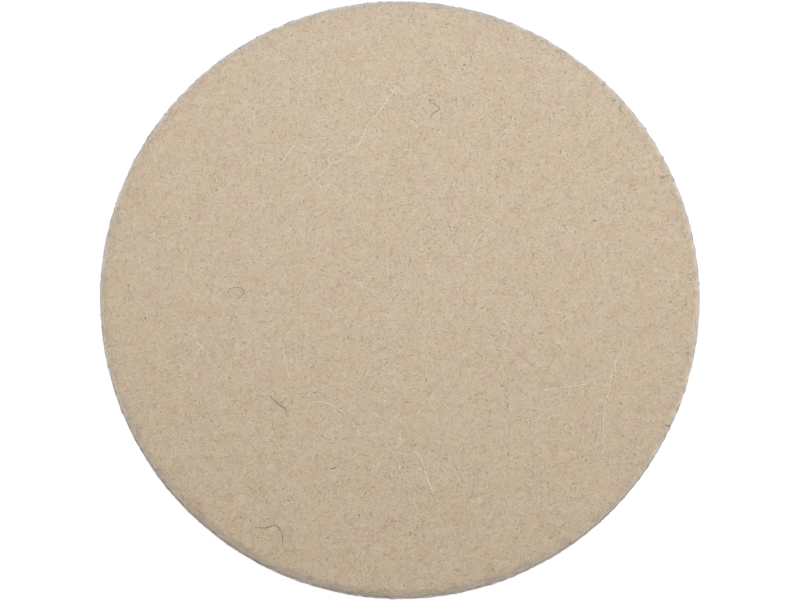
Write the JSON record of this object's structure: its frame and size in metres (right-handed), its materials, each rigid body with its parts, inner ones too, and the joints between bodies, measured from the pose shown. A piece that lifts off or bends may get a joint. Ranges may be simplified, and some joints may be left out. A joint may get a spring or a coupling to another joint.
{
  "type": "felt polishing disc",
  "caption": "Round pressed-wool felt polishing disc with a softened rim and no centre bore, and loop fabric laminated to its back for a hook-faced backing pad.",
  "frame": {"origin": "centre of the loop side, on the plane that the loop tips rest on", "axes": "+Z out of the felt working face, along the disc's axis; X and Y lie in the loop side and any turn about Z is the same disc"},
  "size_m": [0.128, 0.128, 0.01],
  "materials": {
    "wool_felt": "matte",
    "hot_melt_film": "satin",
    "binder_coat": "matte",
    "ground_cloth": "matte",
    "brushed_loops": "matte"
  },
  "bodies": {
    "root": {"felt_disc": "wool_felt", "bonding_film": "hot_melt_film", "loop_back_coat": "binder_coat", "ground_knit": "ground_cloth", "loop_pile": "brushed_loops"}
  },
  "joints": []
}
